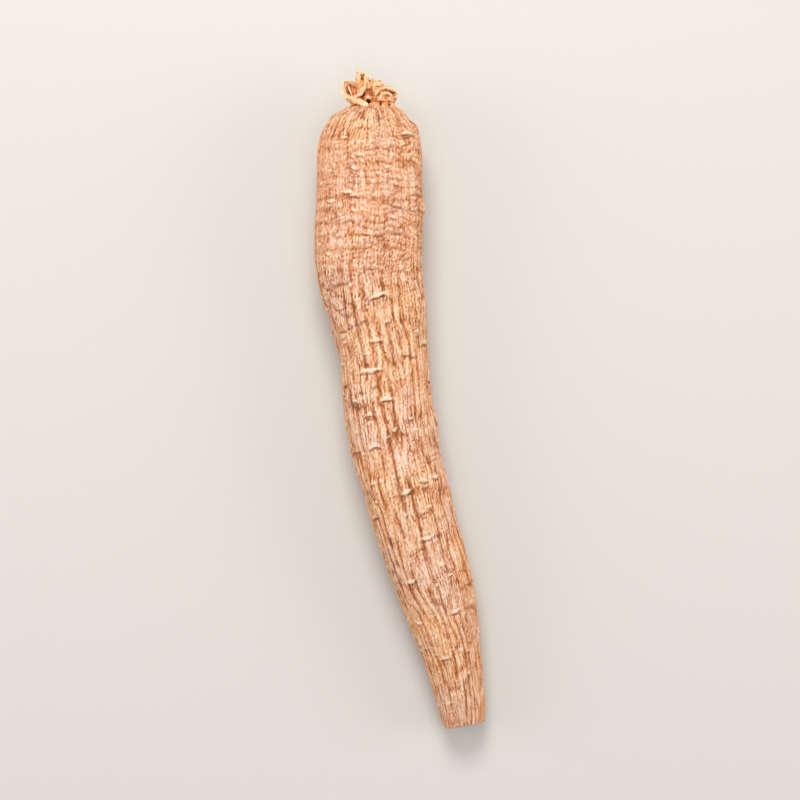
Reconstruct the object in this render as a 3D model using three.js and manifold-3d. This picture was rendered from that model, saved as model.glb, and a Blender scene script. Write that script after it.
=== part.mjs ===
import * as THREE from 'three';
import { mergeVertices } from 'three/addons/utils/BufferGeometryUtils.js';
import Module from 'manifold-3d';

// A dried ginseng root that lies on the floor z = 0, its neck towards +Y and its trimmed tail towards -Y.
// Lengths are millimetres. Angles round the root are degrees: 0 on its +X side, 90 on top, 180 on its -X.

// The middle of the root and its half width and half height, from the crown under the neck to the trimmed
// tail. Where z is less than high, the root is flattened on the floor: under shoulder, waist and tail.
const stations = [
  { x: -4.6, y: 45.3, z: 7.3, wide: 3.0, high: 2.7 },
  { x: -4.6, y: 44.8, z: 7.3, wide: 4.4, high: 4.0 },
  { x: -4.6, y: 43.9, z: 7.3, wide: 5.6, high: 5.1 },
  { x: -4.7, y: 42.3, z: 7.3, wide: 6.8, high: 6.2 },
  { x: -4.8, y: 39.2, z: 7.2, wide: 7.8, high: 7.2 },
  { x: -4.9, y: 32.5, z: 7.2, wide: 8.2, high: 7.6 },
  { x: -4.9, y: 21.0, z: 7.2, wide: 8.2, high: 7.6 },
  { x: -3.9, y: 13.6, z: 6.9, wide: 7.5, high: 7.0 },
  { x: -2.7, y: 6.2, z: 6.3, wide: 6.8, high: 6.6 },
  { x: -1.7, y: -5.2, z: 6.8, wide: 6.7, high: 6.4 },
  { x: 0.9, y: -15.8, z: 6.3, wide: 6.5, high: 6.1 },
  { x: 4.6, y: -28.2, z: 5.3, wide: 5.9, high: 5.6 },
  { x: 7.6, y: -39.2, z: 4.6, wide: 4.7, high: 4.5 },
  { x: 9.3, y: -48.0, z: 4.0, wide: 3.6, high: 3.5 },
  { x: 9.7, y: -50.3, z: 3.9, wide: 3.1, high: 3.0 },
];

// Long wrinkles of the dried skin: how many go round, how deep their furrows are, and the length over which
// a furrow deepens and fades. They sway: [degrees, cells round the root, mm along it].
const wrinkles = { count: 34, depth: 0.52, run: 4.6, sway: [[9, 6, 13], [3.4, 14, 4.2]], twist: 0.12 };

// Ring furrows of the upper third, in broken arcs: their first and last y, their spacing and their depth,
// how many arcs go round, and how far the rows waver. Near each end they fade.
const rings = { top: 42.0, bottom: 16.3, spacing: 1.9, depth: 0.34, arcs: 6, wobble: 0.34 };
const ringFade = { start: 1.5, end: 5 };

const domeRows = [45.3, 44.85, 44.2, 43.4, 42.7];   // rows of points on the rounded crown
const lowerRow = 2.5;                               // row height below the rings

// Shallow lobes of the section: [how many round it, share of the half width, turn, twist per mm]
const lobes = [
  [2, 0.022, 40, 1.1],
  [3, 0.026, -25, -1.6],
  [5, 0.016, 110, 2.3],
];

// Single creases and swellings: their length round the root unless turned, their width, and their height
// above the skin, or below it where that is negative
const creases = [
  { angle: 47, y: 28.9, length: 3.4, width: 0.75, height: -0.55, turn: -18 },
  { angle: 20, y: 26.3, length: 4.0, width: 0.8, height: -0.4, turn: -8 },
  { angle: 55, y: 25.3, length: 4.2, width: 0.7, height: -0.4, turn: -10 },
  { angle: 130, y: 18.0, length: 6.4, width: 0.85, height: -0.6, turn: 6 },
  { angle: 168, y: 16.6, length: 5.0, width: 0.9, height: -0.35, turn: 12 },
  { angle: 128, y: 20.6, length: 6.0, width: 1.7, height: 0.32, turn: 5 },
  { angle: 4, y: 29.6, length: 2.6, width: 1.1, height: 0.4, turn: 0 },
  { angle: 8, y: 42.2, length: 2.8, width: 1.2, height: 0.4, turn: 0 },
  { angle: 178, y: 9.6, length: 2.4, width: 1.1, height: 0.35, turn: 0 },
  { angle: 2, y: -5.4, length: 5.0, width: 2.6, height: 0.4, turn: 70 },
  { angle: 196, y: -24.0, length: 5.5, width: 0.9, height: -0.45, turn: 10 },
  { angle: 330, y: 2.5, length: 6.0, width: 0.9, height: -0.5, turn: -6 },
  { angle: 240, y: 24.5, length: 7.0, width: 0.9, height: -0.5, turn: 8 },
  { angle: 15, y: -33.5, length: 5.0, width: 0.9, height: -0.4, turn: -12 },
];

// Scars that the fine rootlets left: raised bars across the root, as [angle, y, length]
const scars = [
  [85, 15.8, 2.6], [94, 9.3, 2.0], [107, 4.7, 3.2], [83, 0.2, 2.0], [111, -1.9, 1.1],
  [113, -6.5, 1.6], [93, -14.2, 1.7], [60, -13.1, 1.3], [41, -13.1, 1.3], [129, 30.3, 1.7],
  [111, 31.7, 1.9], [44, 41.0, 1.8], [20, 8.0, 2.2], [150, -16.5, 2.0], [75, -21.5, 2.2],
  [118, -27.0, 1.6], [62, -33.0, 2.0], [101, -39.5, 1.5], [178, 1.5, 2.4], [352, -18.0, 2.0],
  [205, -10.5, 2.2], [330, 15.0, 2.4], [222, 10.0, 2.6], [315, -27.5, 2.0],
];
const scarThickness = 0.75;    // along the root
const scarHeight = 0.24;       // above the skin
const scarRoot = 0.35;         // how far its foot is sunk into the skin

// The neck is a short twisted underground stem: rounded lumps, limbs that join them, and old stems' scars
const lumps = {
  base: { x: -3.9, y: 44.8, z: 7.7, wide: 3.3, long: 2.0, high: 3.0 },
  knob: { x: -3.0, y: 47.4, z: 8.1, wide: 2.5, long: 2.1, high: 2.4 },
  shoulder: { x: -4.6, y: 48.7, z: 8.4, wide: 1.3, long: 1.1, high: 1.4 },
};
const limbs = [
  { path: [[-5.0, 43.9, 8.0], [-6.5, 45.5, 8.3], [-7.4, 46.7, 8.5]], radii: [1.3, 0.95, 0.85] },
  { path: [[-7.3, 47.7, 8.6], [-6.0, 48.0, 8.6], [-4.2, 48.0, 8.4]], radii: [0.7, 0.9, 1.0] },
  { path: [[-6.0, 48.0, 8.6], [-6.3, 49.5, 8.9], [-6.6, 50.8, 9.0]], radii: [0.85, 0.62, 0.4] },
  { path: [[-5.6, 48.2, 8.7], [-5.4, 49.5, 9.1], [-5.3, 50.4, 9.3]], radii: [0.75, 0.52, 0.34] },
];
const cupScar = { x: -7.85, y: 47.4, z: 9.0, radius: 1.12, rim: 0.42, floor: -0.75, lean: 14 };
const lipScars = [
  { x: -2.4, y: 46.5, radius: 1.75, thick: 0.34, from: -10, to: 170 },
  { x: -2.3, y: 46.4, radius: 0.85, thick: 0.3, from: 0, to: 200 },
];

const radians = Math.PI / 180;
const up = new THREE.Vector3(0, 0, 1);
const { clamp, lerp, smoothstep } = THREE.MathUtils;
const wasm = await Module();
wasm.setup();

// A repeatable number from -1 to 1 for each mark of a pattern
function chance(number, use) {
  let mix = Math.imul(number + 1, 73856093) ^ Math.imul(use + 1, 19349663);
  mix = Math.imul(mix ^ (mix >>> 15), 2246822519);
  mix = Math.imul(mix ^ (mix >>> 13), 3266489917);
  return ((mix ^ (mix >>> 16)) >>> 0) / 2147483648 - 1;
}

// A smooth run through the stations: place 0 is the crown, and each station is one step on
function measure(key, place) {
  const last = stations.length - 1;
  const from = clamp(Math.floor(place), 0, last - 1);
  const t = place - from;
  const [a, b, c, d] = [-1, 0, 1, 2].map((step) => stations[clamp(from + step, 0, last)][key]);
  return b + 0.5 * t * (c - a + t * (2 * a - 5 * b + 4 * c - d + t * (3 * (b - c) + d - a)));
}

// A smooth repeatable pattern from -1 to 1 over square cells, which comes round again after a whole turn
function pattern(across, cellsRound, down, use) {
  const [left, above] = [Math.floor(across), Math.floor(down)];
  const ease = (t) => t * t * (3 - 2 * t);
  const value = (column, row) => chance(
    (((left + column) % cellsRound) + cellsRound) % cellsRound + cellsRound * (above + row),
    use,
  );
  const upper = lerp(value(0, 0), value(1, 0), ease(across - left));
  const lower = lerp(value(0, 1), value(1, 1), ease(across - left));
  return lerp(upper, lower, ease(down - above));
}

// The place on the stations' line that has this y
function placeAt(y) {
  let [above, below] = [0, stations.length - 1];
  while (below - above > 1e-5) {
    const middle = 0.5 * (above + below);
    if (measure('y', middle) > y) above = middle;
    else below = middle;
  }
  return above;
}

// The angle at which a wrinkle runs: furrow 0, 1, 2 ... at whole numbers, and crests between them
function wrinkleAngle(wrinkle, y) {
  let angle = 360 * wrinkle / wrinkles.count + wrinkles.twist * y;
  wrinkles.sway.forEach(([degrees, cells, run], index) => {
    angle += degrees * pattern(cells * wrinkle / wrinkles.count, cells, y / run, index + 1);
  });
  return angle;
}

// The crest nearest to an angle
function crestAt(angle, y) {
  let wrinkle = angle * wrinkles.count / 360;
  for (let tries = 0; tries < 8; tries += 1) {
    wrinkle += (angle - wrinkleAngle(wrinkle, y)) * wrinkles.count / 360;
  }
  return Math.floor(wrinkle) + 0.5;
}

// A furrow's section: 1 at its sharp bottom, 0 on the round crest half way to the next
function furrow(place) {
  return 1 - Math.sin(Math.PI * Math.abs(place - Math.round(place)));
}

// How far the skin stands out from the plain section
function relief(wrinkle, ring, angle, y, wide) {
  let height = 0;
  for (const [count, share, turn, twist] of lobes) {
    height += share * wide * Math.cos((count * angle + turn + twist * y) * radians);
  }
  const nearest = Math.round(wrinkle);
  const fade = pattern(nearest, wrinkles.count, y / wrinkles.run, 4);
  height -= wrinkles.depth * clamp(0.55 + 0.75 * fade, 0, 1) * furrow(wrinkle);
  const arc = pattern(rings.arcs * angle / 360, rings.arcs, Math.round(ring), 5);
  const ringShare = clamp(0.4 + 1.1 * arc, 0, 1)
    * smoothstep(y, rings.bottom, rings.bottom + ringFade.end)
    * smoothstep(rings.top - y, -ringFade.start / 2, ringFade.start);
  height -= rings.depth * ringShare * furrow(ring);
  for (const crease of creases) {
    const round = ((angle - crease.angle + 540) % 360 + 360) % 360 - 180;
    const across = round * radians * wide;
    const down = y - crease.y;
    const cos = Math.cos(crease.turn * radians);
    const sin = Math.sin(crease.turn * radians);
    const lengthwise = (across * cos - down * sin) / (0.5 * crease.length);
    const sideways = (across * sin + down * cos) / crease.width;
    height += crease.height * Math.exp(-(lengthwise ** 4) - sideways ** 2);
  }
  return height;
}

// A point of the skin on one wrinkle's line, with the ways out of the skin and to the root's right there
function skin(wrinkle, rowY) {
  const ring = (rings.top - rowY) / rings.spacing;
  const wave = pattern(rings.arcs * wrinkle / wrinkles.count, rings.arcs, 0.8 * ring, 3);
  const y = rowY + rings.wobble * wave * smoothstep(domeRows[0] - Math.abs(rowY), 0, 2.6);
  const angle = wrinkleAngle(wrinkle, y);
  const place = placeAt(y);
  const step = 0.01;
  const ahead = ['x', 'y', 'wide'].map((key) => measure(key, place + step) - measure(key, place - step));
  const length = Math.hypot(ahead[0], ahead[1]);
  const right = new THREE.Vector3(-ahead[1] / length, ahead[0] / length, 0);
  const back = new THREE.Vector3(-ahead[0] / length, -ahead[1] / length, 0);
  const wide = measure('wide', place);
  const high = measure('high', place);
  const lean = Math.atan2(ahead[2], length);
  const out = new THREE.Vector3()
    .addScaledVector(right, Math.cos(angle * radians) * Math.cos(lean))
    .addScaledVector(up, Math.sin(angle * radians) * Math.cos(lean))
    .addScaledVector(back, Math.sin(lean));
  const point = new THREE.Vector3(measure('x', place), measure('y', place), measure('z', place))
    .addScaledVector(right, wide * Math.cos(angle * radians))
    .addScaledVector(up, high * Math.sin(angle * radians))
    .addScaledVector(out, relief(wrinkle, ring, angle, y, wide));
  point.z = Math.max(point.z, 0);
  return { point, out, right };
}

// A closed shape over rings of points, with a point in the middle of each end ring
function loft(sections) {
  const sides = sections[0].length;
  const points = sections.flat();
  const centre = (section) => section
    .reduce((sum, point) => sum.add(point), new THREE.Vector3())
    .divideScalar(sides);
  points.push(centre(sections[0]), centre(sections[sections.length - 1]));
  const faces = [];
  for (let side = 0; side < sides; side += 1) {
    const next = (side + 1) % sides;
    const end = (sections.length - 1) * sides;
    faces.push(points.length - 2, next, side, points.length - 1, end + side, end + next);
    for (let row = 0; row < sections.length - 1; row += 1) {
      const [a, b] = [row * sides + side, row * sides + next];
      const [c, d] = [a + sides, b + sides];
      if ((row + side) % 2) faces.push(a, b, c, b, d, c);
      else faces.push(a, b, d, a, d, c);
    }
  }
  const geometry = new THREE.BufferGeometry();
  const numbers = points.flatMap((point) => point.toArray());
  geometry.setAttribute('position', new THREE.Float32BufferAttribute(numbers, 3));
  geometry.setIndex(faces);
  return geometry;
}

// The geometry as a solid, turned the right way out if its faces point in
function solid(geometry) {
  geometry.deleteAttribute('normal');
  geometry.deleteAttribute('uv');
  const merged = mergeVertices(geometry, 1e-4);
  const vertProperties = Float32Array.from(merged.getAttribute('position').array);
  const triVerts = Uint32Array.from(merged.index.array);
  const made = new wasm.Manifold(new wasm.Mesh({ numProp: 3, vertProperties, triVerts }));
  if (made.volume() > 0) return made;
  return new wasm.Manifold(new wasm.Mesh({ numProp: 3, vertProperties, triVerts: triVerts.reverse() }));
}

// The body: its rows follow the furrows and crests of the rings, and its columns those of the wrinkles
function body() {
  const rows = [...domeRows];
  const last = stations[stations.length - 1].y;
  for (let y = rings.top; y > rings.bottom; y -= rings.spacing / 2) rows.push(y);
  for (let y = rows[rows.length - 1] - lowerRow; y > last + lowerRow / 2; y -= lowerRow) rows.push(y);
  rows.push(last);
  const columns = 2 * wrinkles.count;
  return loft(rows.map((y) => Array.from({ length: columns }, (_, column) => skin(column / 2, y).point)));
}

// A rounded lump of the neck
function lump({ x, y, z, wide, long, high }) {
  const shape = new THREE.SphereGeometry(1, 12, 7);
  shape.scale(wide, long, high);
  shape.translate(x, y, z);
  return shape;
}

// A tapered limb of the neck with blunt ends, along a path
function limb({ path, radii }) {
  const curve = new THREE.CatmullRomCurve3(path.map((point) => new THREE.Vector3(...point)));
  const steps = 4;
  const sides = 8;
  const sections = [];
  for (let step = 0; step <= steps; step += 1) {
    const t = step / steps;
    const along = t * (radii.length - 1);
    const from = Math.min(Math.floor(along), radii.length - 2);
    const blunt = step === 0 || step === steps ? 0.7 : 1;
    const radius = lerp(radii[from], radii[from + 1], along - from) * blunt;
    const heading = curve.getTangent(t);
    const left = up.clone().cross(heading).normalize();
    const over = heading.clone().cross(left);
    sections.push(Array.from({ length: sides }, (_, side) => {
      const turn = side * 2 * Math.PI / sides;
      return curve.getPoint(t)
        .addScaledVector(left, radius * Math.cos(turn))
        .addScaledVector(over, radius * Math.sin(turn));
    }));
  }
  return loft(sections);
}

// The cup that an old stem left: a round rim about a sunken floor
function cup({ x, y, z, radius, rim, floor, lean }) {
  const outside = [[0, -1.6], [0.75, -1.5], [radius + 0.2, -0.7], [radius + rim, 0]];
  const inside = [[radius, rim], [radius - 0.35, 0.05], [0.5, floor], [0, floor]];
  const profile = [...outside, ...inside].map((point) => new THREE.Vector2(...point));
  const shape = new THREE.LatheGeometry(profile, 14);
  shape.rotateX(Math.PI / 2);
  shape.rotateY(-lean * radians);
  shape.translate(x, y, z);
  return shape;
}

// A curved lip round one side of another old stem's scar, half sunk into the top of the knob
function lip({ x, y, radius, thick, from, to }) {
  const steps = 7;
  const sides = 6;
  const { knob } = lumps;
  return loft(Array.from({ length: steps + 1 }, (_, step) => {
    const turn = lerp(from, to, step / steps) * radians;
    const thin = thick * (0.5 + 0.5 * Math.sin(Math.PI * step / steps));
    return Array.from({ length: sides }, (_, side) => {
      const reach = radius + thin * Math.cos(side * 2 * Math.PI / sides);
      const point = new THREE.Vector3(x + reach * Math.cos(turn), y + reach * Math.sin(turn), 0);
      const offCentre = Math.hypot((point.x - knob.x) / knob.wide, (point.y - knob.y) / knob.long);
      point.z = knob.z + knob.high * Math.sqrt(Math.max(1 - offCentre ** 2, 0));
      point.z += thin * Math.sin(side * 2 * Math.PI / sides);
      return point;
    });
  }));
}

// A rootlet scar: a low bar with pointed ends across the root, on the nearest crest, its foot sunk into it
function scar([angle, y, length]) {
  const { point, out, right } = skin(crestAt(angle, y), y);
  const across = new THREE.Vector3(0, 0, Math.cos(angle * radians))
    .addScaledVector(right, -Math.sin(angle * radians));
  const along = out.clone().cross(across);
  const outline = [[1, 0], [0.6, 1], [-0.6, 1], [-1, 0], [-0.6, -1], [0.6, -1]];
  const levels = [[1.15, -scarRoot], [1, 0.4 * scarHeight], [0.6, scarHeight]];
  return loft(levels.map(([size, rise]) => (
    outline.map(([u, v]) => point.clone()
      .addScaledVector(across, 0.5 * length * size * u)
      .addScaledVector(along, 0.5 * scarThickness * size * v)
      .addScaledVector(out, rise)))));
}

const neck = [...Object.values(lumps).map(lump), ...limbs.map(limb), cup(cupScar), ...lipScars.map(lip)];
const grown = [body(), ...neck, ...scars.map(scar)].map(solid);
const whole = grown.reduce((sum, piece) => sum.add(piece)).getMesh();
const geometry = new THREE.BufferGeometry();
geometry.setAttribute('position', new THREE.BufferAttribute(whole.vertProperties, 3));
geometry.setIndex(new THREE.BufferAttribute(whole.triVerts, 1));
geometry.computeVertexNormals();

const root = new THREE.Mesh(
  geometry,
  new THREE.MeshStandardMaterial({ color: 0xe5ad86, roughness: 0.78, metalness: 0 }),
);
root.name = 'ginseng_root';

const part = new THREE.Group();
part.add(root);

export default part;
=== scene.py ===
import math

import bpy
import numpy as np
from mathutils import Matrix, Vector


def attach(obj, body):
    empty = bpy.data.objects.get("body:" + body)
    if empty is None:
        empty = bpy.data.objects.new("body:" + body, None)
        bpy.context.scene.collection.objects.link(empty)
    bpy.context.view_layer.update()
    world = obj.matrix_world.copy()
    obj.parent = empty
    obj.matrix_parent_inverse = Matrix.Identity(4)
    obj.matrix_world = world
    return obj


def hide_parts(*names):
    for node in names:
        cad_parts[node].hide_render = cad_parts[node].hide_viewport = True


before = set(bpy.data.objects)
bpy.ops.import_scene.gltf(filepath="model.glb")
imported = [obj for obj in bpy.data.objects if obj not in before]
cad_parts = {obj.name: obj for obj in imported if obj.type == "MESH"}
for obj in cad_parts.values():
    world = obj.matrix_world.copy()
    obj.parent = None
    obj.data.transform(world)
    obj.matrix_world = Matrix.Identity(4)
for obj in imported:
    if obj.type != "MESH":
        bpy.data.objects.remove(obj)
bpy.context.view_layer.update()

# The root lies along Y with its neck towards +Y. Shapes are worked out in mm and made in metres.
mm = 0.001

# Its middle line from the crown to the trimmed tail: x, y, z, half width, half height
middleLine = np.array([
    (-4.6, 45.3, 7.3, 3.0, 2.7), (-4.6, 44.8, 7.3, 4.4, 4.0), (-4.6, 43.9, 7.3, 5.6, 5.1),
    (-4.7, 42.3, 7.3, 6.8, 6.2), (-4.8, 39.2, 7.2, 7.8, 7.2), (-4.9, 32.5, 7.2, 8.2, 7.6),
    (-4.9, 21.0, 7.2, 8.2, 7.6), (-3.9, 13.6, 6.9, 7.5, 7.0), (-2.7, 6.2, 6.3, 6.8, 6.6),
    (-1.7, -5.2, 6.8, 6.7, 6.4), (0.9, -15.8, 6.3, 6.5, 6.1), (4.6, -28.2, 5.3, 5.9, 5.6),
    (7.6, -39.2, 4.6, 4.7, 4.5), (9.3, -48.0, 4.0, 3.6, 3.5), (9.7, -50.3, 3.9, 3.1, 3.0),
])
lineY, lineWide = 1, 3  # columns of it
crownTop = middleLine[0, lineY]

skinForm = {
    "wrinkles": 34,  # long furrows round the root
    "wrinkleDepth": 0.11,
    "wrinkleRun": 4.6,  # mm over which a furrow deepens and fades
    "sway": ((9, 6, 13), (3.4, 14, 4.2)),  # degrees, cells round the root, mm along it
    "twist": 0.12,  # degrees per mm
    "ringTop": 42.0,
    "ringBottom": 16.3,
    "ringSpacing": 1.9,
    "ringDepth": 0.11,
    "ringArcs": 6,
    "ringWobble": 0.34,
    "columns": 12,  # per wrinkle
    "rowStep": {"dome": 0.18, "rings": 0.155, "rest": 0.28},
    "meetY": 14.3,  # where the ringed skin ends and the plain one starts
    "ringEdge": 1.3,  # how far the ends of the ringed part stray
    "netDepth": 0.12,  # the finer wrinkles between the furrows
    "pillowDepth": 0.10,  # short pillows of the ringed part
    "fineDepth": 0.16,
    "beadDepth": 0.10,  # cross furrows between the rings
    "grainDepth": 0.025,
    "swell": 0.14,  # slow unevenness
    "creaseWave": 0.17,  # how far a crease strays
    "scarHeight": 0.12,
    "crackDepth": 0.12,
    "reliefBlur": (8, 9),  # rows and columns that a point is compared with
    "seed": 41,
}

# Waves of its relief: seed, wave and spread across the wrinkles, wave and spread along them
rippleForms = {
    "hollows": (4, 0, 0.07, 0, 0.05),
    "edge": (10, 0, 0.12, 0, 0.06),
    "net": (0, 1.3, 0.2, 0, 0.15),
    "fineNet": (1, 0.68, 0.34, 0, 0.26),
    "beads": (2, 0, 0.34, 2.1, 0.10),
    "gate": (5, 0, 0.12, 0, 0.09),
    "slitWave": (9, 0, 0.3, 0, 0.3),
    "fineGate": (6, 0, 0.12, 0, 0.09),
    "slowWave": (7, 0, 0.4, 0, 0.2),
}
pillowForms = {  # seed, wave across and along, spread
    "pillows": (8, 1.1, 1.25, 0.34),
    "specks": (3, 0.4, 0.62, 0.4),
}
sharpness = {"net": 0.45, "fineNet": 0.5, "pillows": 0.42, "beads": 0.5}

# Lobes of its section: how many, share of the width, turn, twist
lobes = ((2, 0.022, 40, 1.1), (3, 0.026, -25, -1.6), (5, 0.016, 110, 2.3))

# Single creases and swellings: angle, y, length, width, height, turn
creases = (
    (47, 28.9, 7.2, 0.20, -0.34, -13), (20, 26.3, 4.4, 0.20, -0.26, -8), (55, 25.3, 4.6, 0.20, -0.24, -10),
    (130, 18.0, 6.8, 0.24, -0.46, 6), (168, 16.6, 5.0, 0.24, -0.26, 12), (128, 20.6, 6.0, 1.7, 0.32, 5),
    (4, 29.6, 2.6, 1.1, 0.4, 0), (8, 42.2, 2.8, 1.2, 0.4, 0), (178, 9.6, 2.4, 1.1, 0.35, 0),
    (2, -5.4, 5.0, 2.6, 0.4, 70), (196, -24.0, 5.5, 0.24, -0.3, 10), (330, 2.5, 6.0, 0.24, -0.3, -6),
    (240, 24.5, 7.0, 0.24, -0.3, 8), (15, -33.5, 5.0, 0.24, -0.26, -12),
)

# Scars of the fine rootlets: angle, y, length, and those of them that stand out most
scars = (
    (85, 15.8, 2.6), (94, 9.3, 2.0), (107, 4.7, 3.2), (83, 0.2, 2.0), (111, -1.9, 1.1),
    (113, -6.5, 1.6), (93, -14.2, 1.7), (60, -13.1, 1.3), (41, -13.1, 1.3), (129, 30.3, 1.7),
    (111, 31.7, 1.9), (44, 41.0, 1.8), (20, 8.0, 2.2), (150, -16.5, 2.0), (75, -21.5, 2.2),
    (118, -27.0, 1.6), (62, -33.0, 2.0), (101, -39.5, 1.5), (178, 1.5, 2.4), (352, -18.0, 2.0),
    (205, -10.5, 2.2), (330, 15.0, 2.4), (222, 10.0, 2.6), (315, -27.5, 2.0),
)
clearScars = (0, 2, 3, 5, 6, 7, 8, 11)
scarThickness = 0.23
scatteredScars = (  # small ones, and cracks without a bar
    {"count": 240, "y": (-47, 43), "size": (0.45, 1.2), "thick": 0.17, "bar": (0.25, 0.8), "shadedCrack": (0.1, 0.5)},
    {"count": 70, "y": (-30, 40), "size": (0.8, 3.2), "thick": 0.05, "bar": None, "shadedCrack": (0.3, 0.9)},
)


def chance(number, use):  # repeatable, -1 to 1
    keep = np.uint64(0xFFFFFFFF)
    mix = (np.asarray(number, np.int64) + 1).astype(np.uint64) & keep
    mix = (mix * np.uint64(73856093)) & keep
    mix = mix ^ np.uint64(((use + 1) * 19349663) & 0xFFFFFFFF)
    for shift, factor in ((15, 2246822519), (13, 3266489917)):
        mix = ((mix ^ (mix >> np.uint64(shift))) * np.uint64(factor)) & keep
    return (mix ^ (mix >> np.uint64(16))).astype(float) / 2147483648.0 - 1.0


def along(column, place):  # smooth run through the middle line
    last = len(middleLine) - 1
    start = np.clip(np.floor(place), 0, last - 1).astype(int)
    t = place - start
    a, b, c, d = (middleLine[np.clip(start + step, 0, last), column] for step in (-1, 0, 1, 2))
    return b + 0.5 * t * (c - a + t * (2 * a - 5 * b + 4 * c - d + t * (3 * (b - c) + d - a)))


def section(place):  # x, y, z, half width, half height
    return [along(column, place) for column in range(5)]


finePlaces = np.linspace(0, len(middleLine) - 1, 40001)
fineYs = along(lineY, finePlaces)


def placeAt(y):
    return np.interp(-y, -fineYs, finePlaces)


def cells(across, cellsRound, down, use):  # smooth pattern over cells, -1 to 1
    left, above = np.floor(across), np.floor(down)
    u, v = across - left, down - above
    u, v = u * u * (3 - 2 * u), v * v * (3 - 2 * v)

    def corner(column, row):
        return chance(np.mod(left + column, cellsRound) + cellsRound * (above + row), use)

    upper = corner(0, 0) + (corner(1, 0) - corner(0, 0)) * u
    lower = corner(0, 1) + (corner(1, 1) - corner(0, 1)) * u
    return upper + (lower - upper) * v


def wrinkleAngle(wrinkle, y):
    count = skinForm["wrinkles"]
    angle = 360 * wrinkle / count + skinForm["twist"] * y
    for use, (degrees, cellsRound, run) in enumerate(skinForm["sway"]):
        angle = angle + degrees * cells(cellsRound * wrinkle / count, cellsRound, y / run, use + 1)
    return angle


def crestAt(angle, y):  # the crest nearest to an angle
    count = skinForm["wrinkles"]
    wrinkle = angle * count / 360
    for _ in range(8):
        wrinkle = wrinkle + (angle - wrinkleAngle(wrinkle, y)) * count / 360
    return np.floor(wrinkle) + 0.5


def furrow(place):  # 1 in the sharp bottom, 0 on the round crest
    return 1 - np.sin(np.pi * np.abs(place - np.round(place)))


def smoothstep(x, low, high):
    t = np.clip((x - low) / (high - low), 0, 1)
    return t * t * (3 - 2 * t)


def soften(field, rows, columns):  # blurs a field that closes round its columns
    for size, axis in ((rows, 0), (columns, 1)):
        if size < 1:
            continue
        wide = 3 * size
        weights = np.exp(-0.5 * (np.arange(-wide, wide + 1) / size) ** 2)
        weights /= weights.sum()
        sides = [(wide, wide) if a == axis else (0, 0) for a in (0, 1)]
        padded = np.pad(field, sides, mode="edge" if axis == 0 else "wrap")
        rowOf = np.arange(field.shape[axis])
        field = sum(w * np.take(padded, rowOf + k, axis=axis) for k, w in enumerate(weights))
    return field


# Grown relief: noise that closes round the root and keeps some of its waves alone. Sizes are in
# wrinkles round the root and in mm along it.
rippleStep = 0.1  # mm between its rows
rippleRows = 1152
rippleTop = 60  # y of its first row


def grown(seed, share):
    noise = np.random.default_rng(skinForm["seed"] + seed).standard_normal((rippleRows, columnCount))
    down = np.abs(np.fft.fftfreq(rippleRows, rippleStep))[:, None]
    around = np.abs(np.fft.fftfreq(columnCount, 1 / skinForm["columns"]))[None, :]
    keep = share(around, down)
    keep[0, 0] = 0
    field = np.fft.ifft2(np.fft.fft2(noise) * keep).real
    field = field / field.std()
    place = (rippleTop - rowYs) / rippleStep  # a row of it for each row of points
    start = np.floor(place).astype(int)
    between = (place - start)[:, None]
    return field[start] * (1 - between) + field[start + 1] * between


def ripples(name):  # along the wrinkles or across them
    seed, acrossWave, acrossSpread, alongWave, alongSpread = rippleForms[name]
    acrossPeak, alongPeak = (1 / wave if wave else 0 for wave in (acrossWave, alongWave))
    return grown(seed, lambda around, down: np.exp(
        -0.5 * ((around - acrossPeak) / acrossSpread) ** 2 - 0.5 * ((down - alongPeak) / alongSpread) ** 2))


def pillows(name):  # the same in all directions
    seed, acrossWave, alongWave, spread = pillowForms[name]
    return grown(seed, lambda around, down: np.exp(
        -0.5 * ((np.hypot(around * acrossWave, down * alongWave) - 1) / spread) ** 2))


def furrows(name):  # 1 in the sharp furrows where round crests meet
    field = ripples(name) if name in rippleForms else pillows(name)
    return np.exp(-np.abs(field) / sharpness[name])


def gate(name):  # 0 to 1 in slow patches
    return 0.5 + 0.5 * np.tanh(1.4 * ripples(name))


def atLeast(low, field):
    return low + (1 - low) * field


def turnFrom(angle, middle):  # degrees, -180 to 180
    return np.mod(angle - middle + 180, 360) - 180


# Rows and columns of the skin
def rowPlaces():
    steps = skinForm["rowStep"]
    ys, wides = fineYs, along(lineWide, finePlaces)
    wanted = np.where(ys > skinForm["ringTop"], steps["dome"],
                      np.where(ys > skinForm["ringBottom"] - 2, steps["rings"], steps["rest"]))
    run = np.hypot(np.diff(ys), np.diff(wides)) / wanted[1:]
    total = np.concatenate(([0], np.cumsum(run)))
    return np.interp(np.linspace(0, total[-1], int(total[-1]) + 1), total, ys)


rowYs = rowPlaces()
columnCount = skinForm["wrinkles"] * skinForm["columns"]
wrinkleOf = np.arange(columnCount)[None, :] / skinForm["columns"]
rowY = rowYs[:, None]
print("skin rows and columns:", len(rowYs), columnCount)


def bump(angle, middle, width):  # 1 at an angle, fading to its sides
    return np.exp(-(turnFrom(angle, middle) / width) ** 2)


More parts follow.
